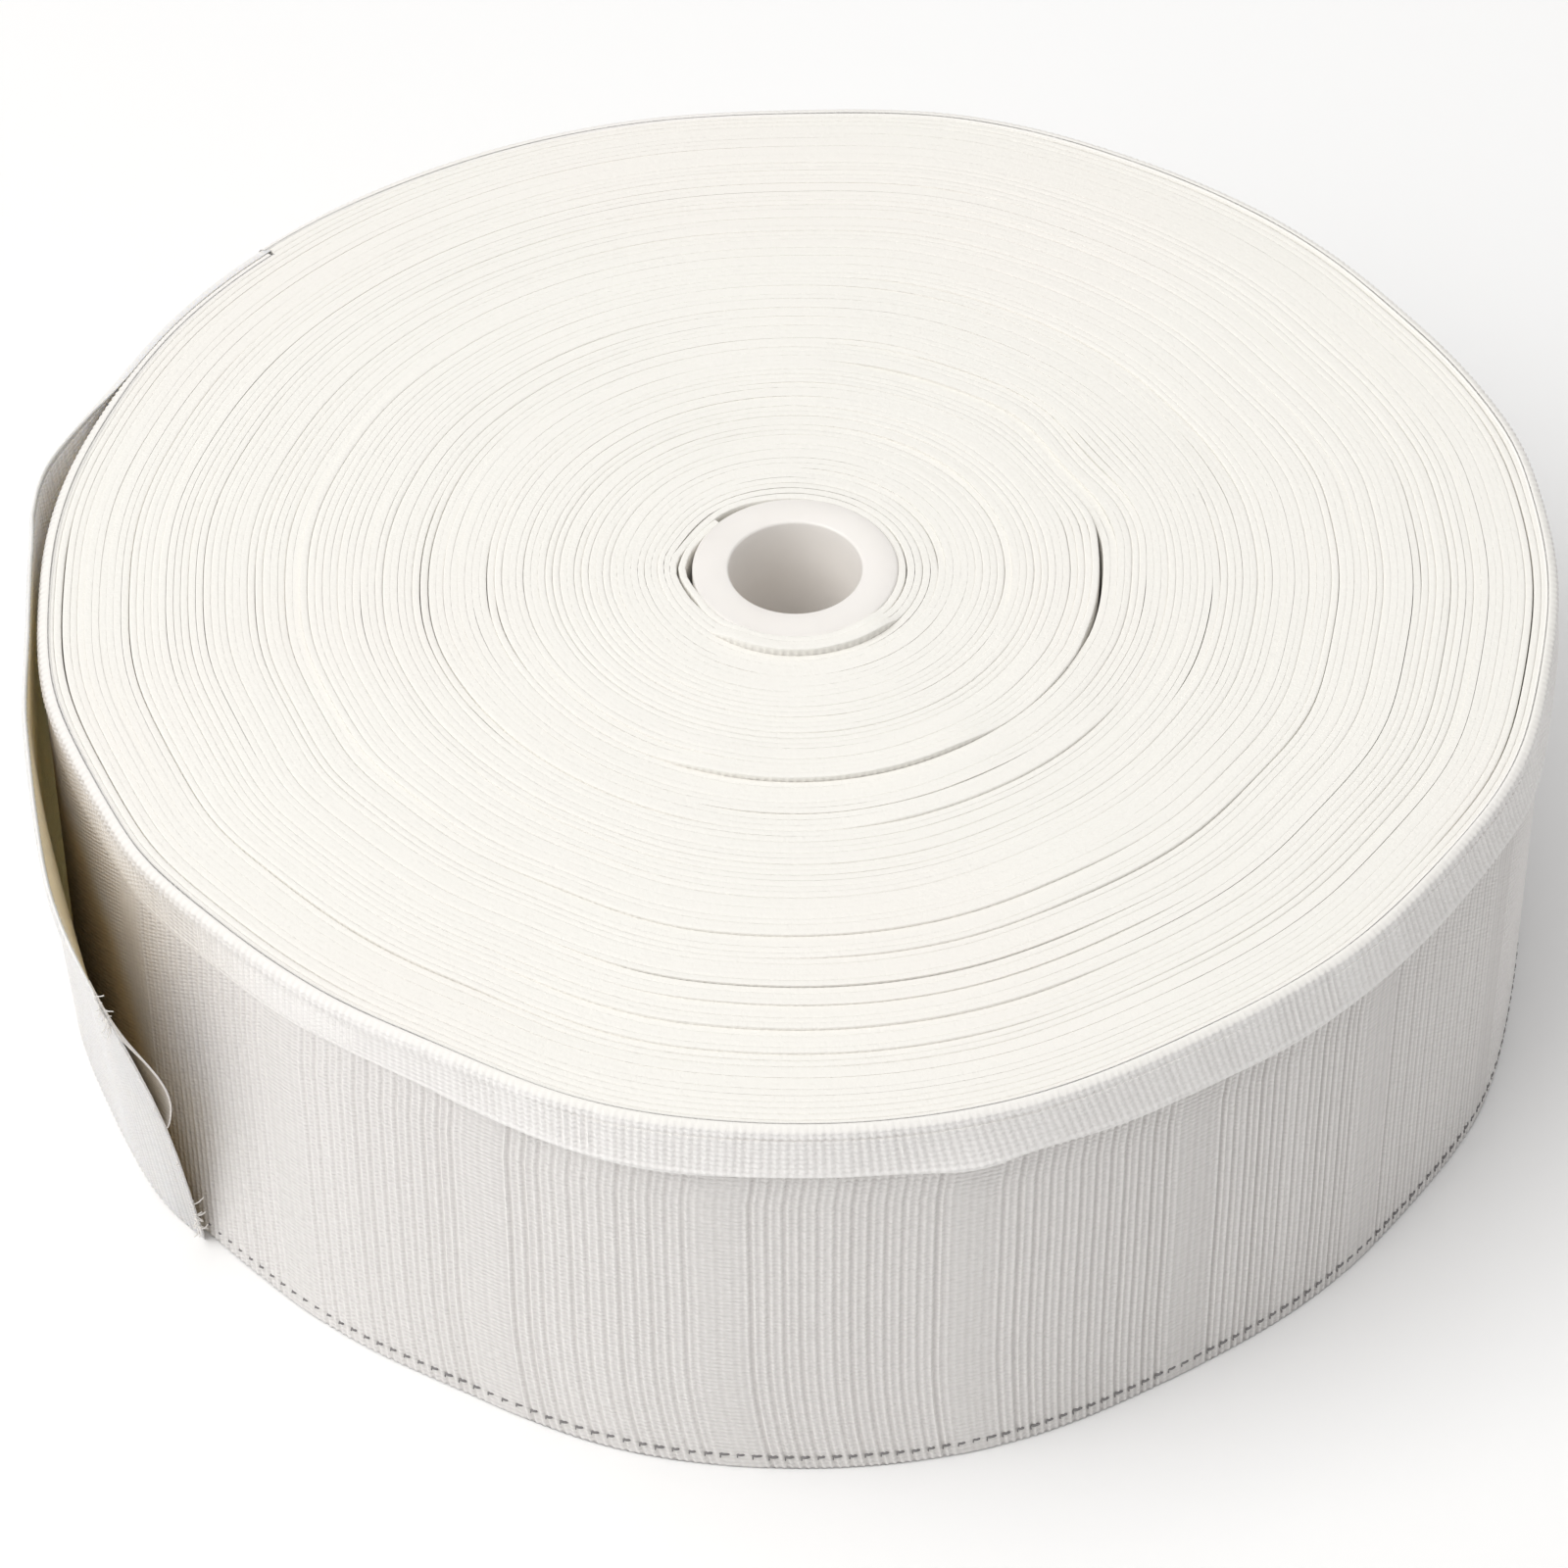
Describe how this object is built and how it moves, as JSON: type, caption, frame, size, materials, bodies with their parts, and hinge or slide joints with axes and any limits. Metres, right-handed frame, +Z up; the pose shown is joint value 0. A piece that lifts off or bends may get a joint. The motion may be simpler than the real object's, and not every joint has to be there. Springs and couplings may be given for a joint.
{
  "type": "roll of curtain heading tape",
  "caption": "Large roll of woven white curtain heading tape on a moulded core, lying flat, with its outer end standing loose at one side.",
  "frame": {"origin": "centre of the bottom of the whole roll's box, on the surface that it lies on", "axes": "+Z up along the core, across the width of the tape; the loose end stands off at -X, and -Y is the side seen in the picture"},
  "size_m": [0.2382, 0.2338, 0.0765],
  "materials": {
    "tape": "matt woven white cotton and polyester, finely ribbed",
    "core": "smooth satin moulded white"
  },
  "bodies": {
    "root": {"core_tube": "core", "wound_tape": "tape", "loose_end": "tape"}
  },
  "joints": []
}
